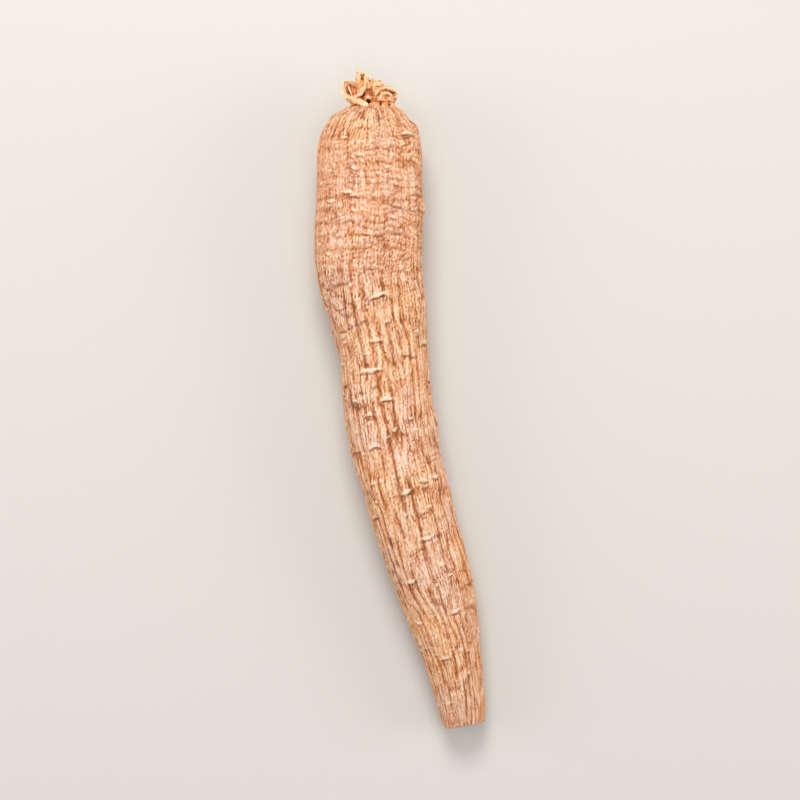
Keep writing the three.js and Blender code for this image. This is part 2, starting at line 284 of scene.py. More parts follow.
def skinHeights(wrinkle, ring, angle, y, wide):
    form = skinForm
    slow = np.zeros(np.broadcast(wrinkle, y).shape)
    for lobeCount, share, turn, twist in lobes:
        slow = slow + share * wide * np.cos(np.radians(lobeCount * angle + turn + twist * y))
    fine = np.zeros_like(slow)
    edge = form["ringEdge"] * ripples("edge")
    inRings = (smoothstep(y + edge, form["ringBottom"], form["ringBottom"] + 6)
               * smoothstep(form["ringTop"] - y + edge, -2.2, 4.0))
    below = 1 - inRings
    ringed = inRings * atLeast(0.4, smoothstep(y, 19, 31))
    fade = cells(np.round(wrinkle), form["wrinkles"], y / form["wrinkleRun"], 4)
    fade = np.clip(0.55 + 0.75 * fade, 0, 1)
    fine -= form["wrinkleDepth"] * fade * furrow(wrinkle) * (1 - 0.65 * inRings)
    arc = cells(form["ringArcs"] * angle / 360, form["ringArcs"], np.round(ring), 5)
    fine -= form["ringDepth"] * np.clip(0.4 + 1.1 * arc, 0, 1) * 0.7 * ringed * furrow(ring)

    inPatches, finePatches = gate("gate"), gate("fineGate")
    slim = smoothstep(wide, 2.2, 6.5)  # finer relief where the root is slim
    rightSide = 0.5 + 0.5 * np.cos(np.radians(angle - 40))
    calm = 1 - 0.5 * inRings * (bump(angle, 178, 30) + bump(angle, 6, 20))
    slow += form["swell"] * ripples("hollows") * atLeast(0.4, slim)
    fine -= (form["netDepth"] * atLeast(0.35, inPatches) * furrows("net") * atLeast(0.5, slim)
             * atLeast(0.3, below))
    pillowShare = (0.35 + 0.35 * inPatches + 0.4 * rightSide) * ringed * calm
    fine -= form["pillowDepth"] * pillowShare * furrows("pillows")
    fine -= (form["fineDepth"] * atLeast(0.3, finePatches) * furrows("fineNet") * atLeast(0.5, slim)
             * atLeast(0.65, below))
    beadShare = ringed * (0.15 + 1.4 * rightSide) * atLeast(0.55, finePatches) * calm
    fine -= form["beadDepth"] * (beadShare + 0.15) * furrows("beads")
    fine += form["grainDepth"] * pillows("specks") * atLeast(0.6, slim)
    slowWave, slitWave = ripples("slowWave"), ripples("slitWave")
    slits = np.zeros_like(slow)
    for creaseAngle, creaseY, length, width, height, turn in creases:
        across = np.radians(turnFrom(angle, creaseAngle)) * wide
        down = y - creaseY
        cos, sin = math.cos(math.radians(turn)), math.sin(math.radians(turn))
        lengthwise = (across * cos - down * sin) / (0.5 * length)
        sideways = (across * sin + down * cos + form["creaseWave"] * slowWave * (height < 0)) / width
        mark = np.exp(-np.abs(lengthwise) ** 4 - sideways ** 2)
        slow += height * mark
        if height < 0:
            fine *= 1 - 0.6 * mark
            # the crease's slit is carved and darkened with painted shadow
            slit = np.exp(-np.abs(lengthwise) ** 4 - (1.3 * sideways) ** 2)
            slits = np.maximum(slits, slit * (0.65 + 0.35 * np.tanh(2 * slitWave)))
    return slow, fine, slits, ringed


# the cracks under the bars are carved and also darkened with painted shadow
def scarMarks(angle, y, wide):  # raised bars across the root, and the cracks below them
    bars = np.zeros(np.broadcast(angle, y).shape)
    cracks = np.zeros_like(bars)
    draw = np.random.default_rng(skinForm["seed"] + 20)

    def within(limits):
        return draw.uniform(*limits) if limits else 0.0

    marks = []  # angle, y, length, thickness, bar, crack
    for number, (scarAngle, scarY, length) in enumerate(scars):
        middle = float(wrinkleAngle(crestAt(scarAngle, scarY), scarY))
        share = 1.0 if number in clearScars else 0.6
        marks.append((middle, scarY, length, scarThickness, share, share))
    for kind in scatteredScars:
        for _ in range(kind["count"]):
            marks.append((within((0, 360)), within(kind["y"]), within(kind["size"]), kind["thick"],
                          within(kind["bar"]), within(kind["shadedCrack"])))
    steep = np.hypot(1, np.gradient(along(lineWide, placeAt(rowYs)), rowYs))[:, None]
    for middle, scarY, length, thick, bar, shadedCrack in marks:
        near = np.abs(rowYs - scarY) < 2.5
        across = np.radians(turnFrom(angle[near], middle)) * wide[near]
        bow, lean, curl = within((-0.12, 0.12)), within((-0.14, 0.14)), within((0, 6))
        down = y[near] - scarY + bow * (across / length) ** 2 * 4 + lean * across
        down = down * steep[near] + 0.07 * np.sin(across * 3.1 + curl)
        end = np.abs(across) / (0.5 * length)
        body = np.exp(-(end ** 3)) * np.exp(-np.abs(down / (thick * (1.15 - 0.5 * end.clip(0, 1)))) ** 2.4)
        line = np.exp(-((end / 1.15) ** 4)) * np.exp(-((down + thick + 0.16) / 0.14) ** 2)
        bars[near] += bar * body
        cracks[near] += shadedCrack * line
    return np.clip(bars, 0, 1), np.clip(cracks, 0, 1)


def buildSkin():
    form = skinForm
    ring = (form["ringTop"] - rowY) / form["ringSpacing"]
    wave = cells(form["ringArcs"] * wrinkleOf / form["wrinkles"], form["ringArcs"], 0.8 * ring, 3)
    y = rowY + form["ringWobble"] * wave * smoothstep(crownTop - np.abs(rowY), 0, 2.6)
    angle = wrinkleAngle(wrinkleOf, y)
    place = placeAt(y)
    aheadX, aheadY, _, aheadWide, _ = (b - a for a, b in zip(section(place - 0.01), section(place + 0.01)))
    length = np.hypot(aheadX, aheadY)
    zero = np.zeros_like(angle)
    right = np.stack((-aheadY / length, aheadX / length, zero), -1)
    back = np.stack((-aheadX / length, -aheadY / length, zero), -1)
    up = np.array((0.0, 0.0, 1.0))
    *middle, wide, high = section(place)
    lean = np.arctan2(aheadWide, length)
    cos, sin = np.cos(np.radians(angle)), np.sin(np.radians(angle))
    out = (right * (cos * np.cos(lean))[..., None] + up * (sin * np.cos(lean))[..., None]
           + back * np.sin(lean)[..., None])
    slow, fine, slits, ringed = skinHeights(wrinkleOf, ring, angle, y, wide)
    bars, cracks = scarMarks(angle, y, wide)
    cracks = np.maximum(cracks, slits)
    fine = fine * (1 - 0.6 * bars) + form["scarHeight"] * bars - form["crackDepth"] * cracks
    plain = np.stack(middle, -1) + right * (wide * cos)[..., None] + up * (high * sin)[..., None]
    points = plain + out * (slow + fine)[..., None]
    points[..., 2] = np.maximum(points[..., 2], 0)
    # relief sets the skin's tone: the furrows get their own darker brown plus painted shade, and the crests
    # their own pale tan plus painted highlight
    raised = fine - soften(fine, *form["reliefBlur"])
    relief = np.clip(0.55 + raised / (0.22 + 0.12 * ringed), 0, 1)
    straight = np.stack((wide * cos, wide * sin, zero), -1)
    straight[..., 2] = -np.cumsum(np.concatenate(([0], np.abs(np.diff(rowYs)))))[:, None]
    # painted shade: the root's sides, as seen from above, come out a little darker and warmer
    flankShade = np.abs(cos) ** 4 * (0.7 + 0.3 * cells(wrinkleOf / 3, 12, y / 7, 9))
    return points, {"relief": relief, "scar": bars, "shadedCrack": cracks, "flankShade": flankShade,
                    "cut": np.zeros_like(relief), "straight": straight}


def gridFaces(rows, columns):
    row = np.arange(rows - 1)[:, None] * columns
    here = np.arange(columns)[None, :]
    following = (here + 1) % columns
    corners = (row + here, row + following, row + columns + following, row + columns + here)
    return np.stack(corners, -1).reshape(-1, 4)


def addObject(name, data):
    piece = bpy.data.objects.new(name, data)
    bpy.context.collection.objects.link(piece)
    return piece


def makeMesh(name, points, faces, marks):
    mesh = bpy.data.meshes.new(name)
    mesh.from_pydata((points * mm).tolist(), [], faces)
    for key, values in marks.items():
        kind, part = ("FLOAT_VECTOR", "vector") if key == "straight" else ("FLOAT", "value")
        data = mesh.attributes.new(key, kind, "POINT").data
        data.foreach_set(part, np.asarray(values, np.float32).ravel())
    mesh.validate(clean_customdata=False)
    mesh.shade_smooth()
    mesh.update()
    return addObject(name, mesh)


def outward(points):  # the grid's own normals
    down = np.gradient(points, axis=0)
    around = np.roll(points, -1, axis=1) - np.roll(points, 1, axis=1)
    out = np.cross(around, down)
    return out / np.maximum(np.linalg.norm(out, axis=-1, keepdims=True), 1e-9)


def closedSkin(name, points, marks, ends, meetRow, meetNormals):
    rows, columns = points.shape[:2]
    faces = gridFaces(rows, columns).tolist()
    first, last, foot = rows * columns, rows * columns + 1, (rows - 1) * columns
    for column in range(columns):
        following = (column + 1) % columns
        faces.append((first, following, column))
        faces.append((last, foot + column, foot + following))
    marks = {key: np.append(field.ravel(), field[[0, -1]].mean(axis=1)) for key, field in marks.items()}
    piece = makeMesh(name, np.concatenate((points.reshape(-1, 3), ends)), faces, marks)
    # both skins are shaded alike along the row where they meet
    normals = np.empty(3 * len(piece.data.vertices), np.float32)
    piece.data.vertices.foreach_get("normal", normals)
    normals = normals.reshape(-1, 3)
    normals[meetRow * columns:(meetRow + 1) * columns] = meetNormals
    piece.data.normals_split_custom_set_from_vertices(normals)
    return piece


tailCut = {
    "shares": (0.985, 0.955, 0.90, 0.80, 0.68, 0.56, 0.50, 0.44, 0.30, 0.15),
    "bulge": (0.10, 0.15, 0.10, -0.02, -0.10, -0.14, -0.22, -0.08, -0.02, 0.03),
    "heading": (0.17, -0.985, 0.0),
    "tip": 0.03,
    "spokeDepth": 0.05,
    "seed": 77,
}


def tailRings(lastRing, straight):  # the trimmed end, ring by ring to its middle
    heading = np.array(tailCut["heading"])
    centre = lastRing.mean(axis=0)
    draw = np.random.default_rng(tailCut["seed"])
    spokes = soften(draw.standard_normal((1, columnCount)), 0, 3)[0]
    spokes = spokes / spokes.std()
    points, places, cuts = [], [], []
    for share, bulge in zip(tailCut["shares"], tailCut["bulge"]):
        spoke = tailCut["spokeDepth"] * spokes * (1 if share < 0.9 else 0.3)
        ring = centre + (lastRing - centre) * share + heading * (bulge + spoke)[:, None]
        ring[:, 2] = np.maximum(ring[:, 2], 0)
        points.append(ring)
        places.append(straight * (share, share, 1))
        cuts.append(np.full(columnCount, 1.02 - share if share < 0.97 else 0.0))
    plain = np.zeros_like(cuts)
    marks = {"relief": plain + np.clip(0.55 + 0.2 * spokes, 0, 1), "scar": plain, "shadedCrack": plain,
             "flankShade": plain, "cut": np.array(cuts), "straight": np.array(places)}
    return np.array(points), marks, centre + heading * tailCut["tip"]


def buildSkins():
    points, marks = buildSkin()
    meetRow = int(np.argmin(np.abs(rowYs - skinForm["meetY"])))
    normals, middle = outward(points)[meetRow], points[meetRow].mean(axis=0)
    above = {key: field[:meetRow + 1] for key, field in marks.items()}
    ends = np.array((points[0].mean(axis=0), middle))
    upper = closedSkin("ringedSkin", points[:meetRow + 1], above, ends, meetRow, normals)
    rings, tail, tip = tailRings(points[-1], marks["straight"][-1])
    below = {key: np.concatenate((field[meetRow:], tail[key])) for key, field in marks.items()}
    lowerPoints = np.concatenate((points[meetRow:], rings))
    lower = closedSkin("wrinkledSkin", lowerPoints, below, np.array((middle, tip)), 0, normals)
    return upper, lower, points


# The neck is what old stems left: a cup, a stub with two prongs and a knob with two lips
neckForm = {
    "lumps": {  # middle and half sizes
        "base": ((-3.5, 44.7, 7.7), (3.0, 1.6, 2.8)),
        "backing": ((-5.4, 46.3, 7.3), (1.7, 1.5, 1.7)),
        "knob": ((-2.65, 46.7, 8.0), (2.15, 1.75, 2.4)),
        "shoulder": ((-4.05, 48.1, 8.3), (1.35, 1.3, 1.6)),
        "knot": ((-5.8, 47.8, 8.9), (0.85, 0.75, 1.1)),
        "cupFoot": ((-7.4, 47.4, 7.5), (1.45, 1.3, 1.35)),
    },
    "limbs": (  # path and thickness
        (((-5.4, 44.6, 7.9), (-6.7, 45.6, 8.2), (-7.4, 46.7, 8.4)), (1.2, 1.0, 0.85)),
        (((-7.8, 46.5, 8.9), (-6.6, 45.75, 9.5), (-5.5, 45.15, 10.6)), (0.75, 0.6, 0.48)),
        (((-7.3, 47.7, 8.6), (-6.0, 47.9, 8.7), (-4.2, 48.0, 8.4)), (0.7, 0.8, 0.9)),
        (((-6.15, 47.9, 8.8), (-6.42, 49.3, 8.95), (-6.52, 50.55, 9.0)), (0.66, 0.50, 0.36)),
        (((-5.5, 48.0, 8.9), (-5.36, 49.2, 9.05), (-5.34, 50.2, 9.15)), (0.66, 0.48, 0.34)),
        (((-5.85, 48.0, 8.5), (-5.90, 49.0, 8.55), (-5.92, 49.9, 8.6)), (0.80, 0.62, 0.46)),
    ),
    "limbFillet": 0.2,
    "cup": {"middle": (-7.55, 47.55, 9.0), "radius": 1.62, "flat": 1.16, "rim": 0.40, "depth": 0.95,
            "lean": (10, 12), "hollow": 1.12, "hollowUp": 0.22, "wall": 0.16},
    "lips": (  # middle, radius, thickness, first and last angle, height
        (-2.25, 46.4, 1.62, 0.27, -14, 172, 0.36),
        (-2.2, 46.35, 0.82, 0.24, 4, 196, 0.32),
    ),
    "pits": (  # middle, half sizes, softness
        ((-2.2, 46.3, 10.5), (0.36, 0.32, 0.75), 0.12),
        ((-4.5, 46.7, 10.2), (0.5, 0.75, 1.1), 0.22),
        ((-5.1, 45.9, 10.0), (0.42, 0.40, 2.6), 0.14),
        ((-3.5, 48.2, 10.2), (0.38, 0.28, 0.6), 0.12),
        ((-4.5, 48.7, 10.1), (0.3, 0.26, 0.6), 0.12),
        ((-3.1, 45.25, 10.5), (0.22, 0.55, 0.9), 0.15),
        ((-1.75, 45.1, 9.9), (0.2, 0.6, 0.9), 0.15),
    ),
    "flutes": 7.5,  # on the knob
    "fluteDepth": 0.10,
    "fibreDepth": 0.10,
    "bandDepth": 0.07,
    "grainDepth": 0.05,
    "warp": 0.2,
    "sunk": 0.42,  # how far its foot lies under the crown's skin
    "footFillet": 0.45,
    "footY": 44.1,
    "footReach": 0.55,  # how far it spreads round the neck
    "probe": 0.05,  # mm over which its slope is measured
    # these two reaches set the painted shade in the neck's folds and the painted highlight on its thin rims
    "openReach": (0.3, 0.9),  # mm outwards where a crest is free and a fold is not
    "thinReach": 0.5,  # mm inwards
    "step": 0.09,  # mm between the points of its grid
    "low": (-10.8, 43.6, 2.4),
    "high": (1.4, 51.6, 12.6),
}


def lattice(points, size, use):  # smooth noise in space, -1 to 1
    place = points / np.asarray(size, float)
    low = np.floor(place)
    share = place - low
    share = share * share * (3 - 2 * share)
    low = low.astype(np.int64)
    total = 0
    for corner in range(8):
        step = np.array((corner & 1, corner >> 1 & 1, corner >> 2 & 1))
        spot = low + step
        number = spot[..., 0] * 7919 + spot[..., 1] * 104729 + spot[..., 2] * 1299709
        weight = np.prod(np.where(step, share, 1 - share), axis=-1)
        total = total + weight * chance(number, use)
    return total


def fuse(a, b, fillet):  # two bodies grown into one
    mixed = np.clip(0.5 + 0.5 * (b - a) / fillet, 0, 1)
    return b + (a - b) * mixed - fillet * mixed * (1 - mixed)


def carve(a, b, fillet):
    return -fuse(-a, b, fillet)


def lumpField(points, middle, halves):
    halves = np.asarray(halves, float)
    scaled = np.linalg.norm((points - middle) / halves, axis=-1)
    return (scaled - 1) * halves.min()


def limbField(points, path, thickness):
    path = np.asarray(path, float)
    best = np.full(points.shape[:-1], 1e3)
    for a, b, r1, r2 in zip(path, path[1:], thickness, thickness[1:]):
        run = b - a
        t = np.clip(((points - a) @ run) / (run @ run), 0, 1)
        radius = r1 + (r2 - r1) * t
        best = np.minimum(best, np.linalg.norm(points - a - t[..., None] * run, axis=-1) - radius)
    return best


def finePath(path, thickness, parts=6):
    path, thickness = np.asarray(path, float), np.asarray(thickness, float)
    t = np.linspace(0, len(path) - 1, parts * (len(path) - 1) + 1)
    a, b, c = path
    curve = np.array([a * (1 - s / 2) ** 2 + (2 * b - 0.5 * (a + c)) * 2 * (s / 2) * (1 - s / 2)
                      + c * (s / 2) ** 2 for s in t])
    return curve, np.interp(t, np.arange(len(thickness)), thickness)


def crownField(points):
    place = placeAt(np.clip(points[..., 1], 30, crownTop - 0.01))
    x, _, z, wide, high = section(place)
    off = np.hypot((points[..., 0] - x) / wide, (points[..., 2] - z) / high)
    slope = np.where(points[..., 1] > skinForm["ringTop"], 0.62, 0.9)
    return np.maximum((off - 1) * high * slope, points[..., 1] - crownTop + 0.05) + neckForm["sunk"]


def lipRidges(spot, body):  # curved lips on top of the knob
    knobZ = neckForm["lumps"]["knob"][0][2]
    top = smoothstep(spot[..., 2], knobZ - 0.5, knobZ + 0.6)
    for x, y, radius, thick, start, end, height in neckForm["lips"]:
        across, up = spot[..., 0] - x, spot[..., 1] - y
        reach = np.hypot(across, up)
        angle = np.mod(np.degrees(np.arctan2(up, across)) + 90, 360) - 90
        inArc = smoothstep(angle, start - 12, start + 12) * (1 - smoothstep(angle, end - 12, end + 12))
        ridge = np.exp(-((reach - radius) / thick) ** 2)
        valley = np.exp(-((reach - radius + 1.8 * thick) / (0.75 * thick)) ** 2)
        uneven = 0.8 + 0.35 * lattice(spot, 0.9, 90)
        body = body - height * uneven * (inArc * top) * (ridge - 0.8 * valley)
    return body


def oldCup(spot, body):  # a thick uneven rim about a dark hollow
    cup = neckForm["cup"]
    leanX, leanY = (math.tan(math.radians(degrees)) for degrees in cup["lean"])
    axis = np.array((-leanX, leanY, 1.0))
    axis /= np.linalg.norm(axis)
    offset = spot - np.array(cup["middle"])
    height = offset @ axis
    flat = offset - height[..., None] * axis
    across, up = flat[..., 0], flat[..., 1] * cup["flat"]
    reach = np.hypot(across, up)
    around = np.arctan2(up, across)
    outer = cup["radius"] + 0.08 * np.cos(3 * around + 0.6) + 0.42 * np.clip(height, -2, 0.3)
    bowl = np.maximum(reach - np.maximum(outer, 0.55), -1.5 - height)
    bowl = np.maximum(bowl, height - cup["rim"] - 0.12 * np.cos(2 * around + 1.0)) - 0.1
    body = fuse(body, bowl, 0.2)
    reach = np.hypot(across, up - cup["hollowUp"])
    inner = cup["hollow"] + 0.08 * np.cos(2 * around + 2.0) + 0.45 * np.clip(height, -1, 0.3)
    hollow = np.maximum(reach - inner, -cup["depth"] - height)
    wall = np.maximum(np.abs(across + 0.35 + 0.25 * up) - cup["wall"], height + 0.25)
    return carve(body, np.maximum(hollow, -wall), 0.14)


def neckField(points):
    form = neckForm
    lumps = form["lumps"]
    spot = points + form["warp"] * np.stack([lattice(points, 1.7, 60 + axis) for axis in range(3)], -1)
    knob = fuse(lumpField(spot, *lumps["knob"]), lumpField(spot, *lumps["shoulder"]), 0.35)
    knobX, _, knobZ = lumps["knob"][0]
    turn = np.arctan2(spot[..., 2] - knobZ, spot[..., 0] - knobX)
    flutes = np.abs(np.sin(turn * form["flutes"] + 1.6 * lattice(spot, 1.5, 71)))
    body = fuse(lumpField(spot, *lumps["base"]), lumpField(spot, *lumps["backing"]), 0.3)
    body = fuse(body, knob + form["fluteDepth"] * (1 - flutes), 0.22)
    for name in ("knot", "cupFoot"):
        body = fuse(body, lumpField(spot, *lumps[name]), 0.22)
    for path, thickness in form["limbs"]:
        body = fuse(body, limbField(spot, *finePath(path, thickness)), form["limbFillet"])
    body = oldCup(spot, lipRidges(spot, body))
    for middle, halves, softness in form["pits"]:
        body = carve(body, lumpField(spot, middle, halves), softness)
    fibres = np.abs(lattice(spot, (0.42, 1.5, 0.42), 80))
    bands = np.abs(lattice(spot, (1.4, 0.5, 1.4), 81))
    body = body + form["fibreDepth"] * (1 - np.minimum(fibres * 3, 1))
    body = body + form["bandDepth"] * (1 - np.minimum(bands * 3, 1))
    body = body + form["grainDepth"] * lattice(points, 0.33, 82)
    foot = np.maximum(crownField(points), body - form["footReach"])
    return np.maximum(fuse(body, foot, form["footFillet"]), form["footY"] - points[..., 1])


def netOver(field, low, step):  # a closed mesh over the places where the field is 0
    inside = field < 0
    shape = np.array(field.shape) - 1

    def block(grid, offset):
        return grid[tuple(slice(o, o + n) for o, n in zip(offset, shape))]

    corners = [(i, j, k) for i in (0, 1) for j in (0, 1) for k in (0, 1)]
    filled = sum(block(inside, corner).astype(np.int8) for corner in corners)
    mixed = (filled > 0) & (filled < 8)
    number = np.full(mixed.shape, -1)
    number[mixed] = np.arange(mixed.sum())
    total = np.zeros((int(mixed.sum()), 3))
    crossings = np.zeros(len(total))
    for axis in range(3):
        for corner in (c for c in corners if not c[axis]):
            far = tuple(c + (a == axis) for a, c in enumerate(corner))
            a, b = block(field, corner)[mixed], block(field, far)[mixed]
            cross = (a < 0) != (b < 0)
            spot = np.tile(np.array(corner, float), (len(a), 1))
            spot[:, axis] = np.where(cross, a / np.where(cross, a - b, 1), 0)
            total += np.where(cross[:, None], spot, 0)
            crossings += cross
    points = (np.argwhere(mixed) + total / crossings[:, None]) * step + low
    faces = []
    for axis in range(3):
        u, v = (axis + 1) % 3, (axis + 2) % 3
        a, b = (inside.swapaxes(0, axis)[part].swapaxes(0, axis) for part in (slice(0, -1), slice(1, None)))
        spots = np.argwhere(a != b)
        leaving = a[tuple(spots.T)]
        ring = []
        for du, dv in ((-1, -1), (0, -1), (0, 0), (-1, 0)):
            cell = spots.copy()
            cell[:, u] += du
            cell[:, v] += dv
            ring.append(number[tuple(cell.T)])
        ring = np.stack(ring, -1)
        ring[~leaving] = ring[~leaving][:, ::-1]
        faces.append(ring)
    return points, np.concatenate(faces)


def largestPart(points, faces):  # leaves out loose crumbs
    part, before = np.arange(len(points)), None
    while before is None or (part != before).any():
        before = part.copy()
        np.minimum.at(part, faces, part[faces].min(axis=1, keepdims=True))
        part = part[part]
    kept = part == np.bincount(part).argmax()
    number = np.cumsum(kept) - 1
    return points[kept], number[faces[kept[faces[:, 0]]]]


def nearField(shape, low, high, step, block=4):  # on a grid, worked out only near its surface
    axes = [np.arange(a, b, step) for a, b in zip(low, high)]
    coarse = shape(np.stack(np.meshgrid(*(axis[::block] for axis in axes), indexing="ij"), -1))
    wide = coarse.repeat(block, 0).repeat(block, 1).repeat(block, 2)
    field = wide[tuple(slice(0, len(axis)) for axis in axes)].copy()
    near = np.argwhere(np.abs(field) < 1.6 * block * step)
    spots = np.stack([axis[near[:, k]] for k, axis in enumerate(axes)], -1)
    field[tuple(near.T)] = np.concatenate([shape(part) for part in np.array_split(spots, 12)])
    return field


def buildNeck():
    form = neckForm
    field = nearField(neckField, form["low"], form["high"], form["step"])
    for axis in range(3):  # rounds off what is thinner than the grid
        field = 0.5 * field + 0.25 * (np.roll(field, 1, axis) + np.roll(field, -1, axis))
    points, faces = largestPart(*netOver(field, form["low"], form["step"]))
    value = neckField(points)
    probe, thinReach = form["probe"], form["thinReach"]
    slope = np.stack([neckField(points + probe * axis) - value for axis in np.eye(3)], -1) / probe
    steep = np.linalg.norm(slope, axis=-1, keepdims=True)
    out = slope / np.maximum(steep, 1e-6)
    points = points - out * np.clip(value[:, None] / np.maximum(steep, 0.5), -0.05, 0.05)
    # painted shade and highlight: points that see little of the outside get the darkest tones, as shaded
    # hollows would, and thin free rims get the palest, as lit edges would
    near, far = (neckField(points + out * reach) / reach for reach in form["openReach"])
    open_ = np.clip(0.5 * near + 0.5 * far, 0, 1)
    thin = np.clip(1 + neckField(points - out * thinReach) / thinReach, 0, 1)
    relief = np.clip(0.01 + 0.66 * open_ + 0.6 * thin * open_ ** 3, 0, 1)
    marks = dict.fromkeys(("scar", "shadedCrack", "flankShade", "cut"), np.zeros(len(points)))
    return makeMesh("rootNeck", points, faces.tolist(), {"relief": relief, "straight": points, **marks})


# Materials
def newGroup(name, inputs, outputs):  # an input without a value is a vector
    tree = bpy.data.node_groups.new(name, "ShaderNodeTree")
    for label, value in inputs.items():
        kind = "NodeSocketVector" if value is None else "NodeSocketFloat"
        socket = tree.interface.new_socket(label, in_out="INPUT", socket_type=kind)
        if value is not None:
            socket.default_value = value
    for label in outputs:
        tree.interface.new_socket(label, in_out="OUTPUT", socket_type="NodeSocketFloat")
    return tree, tree.nodes.new("NodeGroupInput").outputs, tree.nodes.new("NodeGroupOutput").inputs


def addNode(tree, kind, values=None, **settings):
    node = tree.nodes.new(kind)
    for key, value in settings.items():
        setattr(node, key, value)
    for key, value in (values or {}).items():
        if isinstance(value, bpy.types.NodeSocket):
            tree.links.new(value, node.inputs[key])
        else:
            node.inputs[key].default_value = value
    return node


def send(tree, sockets, values):
    for label, value in values.items():
        tree.links.new(value, sockets[label])


def mathNode(tree, operation, *values):
    return addNode(tree, "ShaderNodeMath", dict(enumerate(values)), operation=operation).outputs[0]


def vectorMath(tree, operation, vector, other):
    values = {0: vector, "Scale" if operation == "SCALE" else 1: other}
    return addNode(tree, "ShaderNodeVectorMath", values, operation=operation).outputs[0]


def multiply(tree, a, b):
    return mathNode(tree, "MULTIPLY", a, b)


def addTo(tree, value, share, base):  # base + share * value
    return mathNode(tree, "MULTIPLY_ADD", value, share, base)


def remap(tree, value, low, high, toLow=0.0, toHigh=1.0):
    values = {"Value": value, "From Min": low, "From Max": high, "To Min": toLow, "To Max": toHigh}
    return addNode(tree, "ShaderNodeMapRange", values).outputs["Result"]


def noise(tree, place, scale, detail, roughness, distortion=0.0):
    values = {"Vector": place, "Scale": scale, "Detail": detail, "Roughness": roughness,
              "Distortion": distortion}
    return addNode(tree, "ShaderNodeTexNoise", values).outputs["Fac"]


def toned(tree, level, tones):  # the first tone is at 0
    node = addNode(tree, "ShaderNodeValToRGB", {"Fac": level})
    stops = node.color_ramp.elements
    stops.remove(stops[1])
    stops[0].color = colour(*tones[0][1:])
    for position, *rgb in tones[1:]:
        stops.new(position).color = colour(*rgb)
    return node.outputs["Color"]


def mixColour(tree, share, first, second, blend="MIX"):
    values = {0: share, 6: first, 7: second}
    return addNode(tree, "ShaderNodeMix", values, data_type="RGBA", blend_type=blend).outputs[2]


def colour(red, green, blue):  # from 0 to 255 as on a screen
    def linear(value):
        value /= 255
        return value / 12.92 if value <= 0.04045 else ((value + 0.055) / 1.055) ** 2.4
    return (linear(red), linear(green), linear(blue), 1.0)


def fibreGroup():  # streaks that run along the root
    inputs = {"Place": None, "Fineness": 3.0, "Stretch": 0.14}
    tree, given, result = newGroup("fibreStreaks", inputs, ["Streaks", "Lines", "Grain"])
    fineness = given["Fineness"]
    squeeze = addNode(tree, "ShaderNodeCombineXYZ", {
        "X": fineness, "Y": fineness, "Z": multiply(tree, fineness, given["Stretch"])}).outputs[0]
    place = vectorMath(tree, "MULTIPLY", given["Place"], squeeze)
    streaks = noise(tree, place, 1.0, 5.0, 0.62, 0.35)
    wide = noise(tree, place, 0.36, 2.5, 0.5, 0.6)
    off = mathNode(tree, "ABSOLUTE", mathNode(tree, "SUBTRACT", wide, 0.5))
    send(tree, result, {"Streaks": remap(tree, streaks, 0.3, 0.7),
                        "Lines": remap(tree, off, 0.0, 0.05, 1.0, 0.0),
                        "Grain": noise(tree, given["Place"], 7.5, 3.0, 0.6)})
    return tree


def dots(tree, place, scale, radius, most):  # round spots in some of the cells
    cell = addNode(tree, "ShaderNodeTexVoronoi", {"Vector": place, "Scale": scale, "Randomness": 1.0})
    spot = remap(tree, cell.outputs["Distance"], radius, 0.4 * radius)
    pick = addNode(tree, "ShaderNodeSeparateColor", {"Color": cell.outputs["Color"]}).outputs["Red"]
    return multiply(tree, spot, remap(tree, pick, most, most - 0.15))


def mottleGroup():  # slow blotches, pale dust and painted highlight on the crests, pits and painted glint specks on the crests
    inputs = {"Place": None, "Relief": 0.5, "Size": 4.0}
    tree, given, result = newGroup("skinMottle", inputs, ["Blotch", "DustAndSheen", "Pits", "GlintSpecks"])
    place = vectorMath(tree, "SCALE", given["Place"], mathNode(tree, "DIVIDE", 1.0, given["Size"]))
    blotch = remap(tree, noise(tree, place, 1.0, 4.0, 0.55), 0.34, 0.66)
    patches = remap(tree, noise(tree, place, 3.1, 6.0, 0.7), 0.42, 0.68)
    crest = remap(tree, given["Relief"], 0.45, 0.75)
    send(tree, result, {"Blotch": blotch, "DustAndSheen": multiply(tree, crest, patches),
                        "Pits": dots(tree, given["Place"], 0.75, 0.17, 0.4),
                        "GlintSpecks": multiply(tree, dots(tree, given["Place"], 1.15, 0.27, 0.5), crest)})
    return tree


fibreStreaks = fibreGroup()
skinMottle = mottleGroup()

# Tones from the bottom of the furrows to their crests, and over the cut: place, red, green, blue
# skinTones: over the skin's own tan, the dark stops hold painted shade in the furrows and the pale stops
# painted highlight on the crests
skinTones = ((0.0, 108, 54, 30), (0.18, 158, 93, 57), (0.35, 199, 132, 90),
             (0.49, 224, 164, 123), (0.63, 240, 191, 154), (0.80, 255, 228, 202))
# neckTones: the dark stops are painted shade in the neck's hollows, and the pale stops painted highlight on its
# thin rims
neckTones = ((0.0, 84, 40, 24), (0.14, 158, 84, 40), (0.3, 214, 134, 74),
             (0.46, 238, 174, 116), (0.64, 246, 196, 144), (0.88, 255, 224, 184))
cutTones = ((0.0, 206, 136, 90), (0.10, 255, 216, 176), (0.42, 250, 194, 146),
            (0.50, 208, 130, 78), (0.56, 250, 194, 142), (1.0, 255, 212, 168))

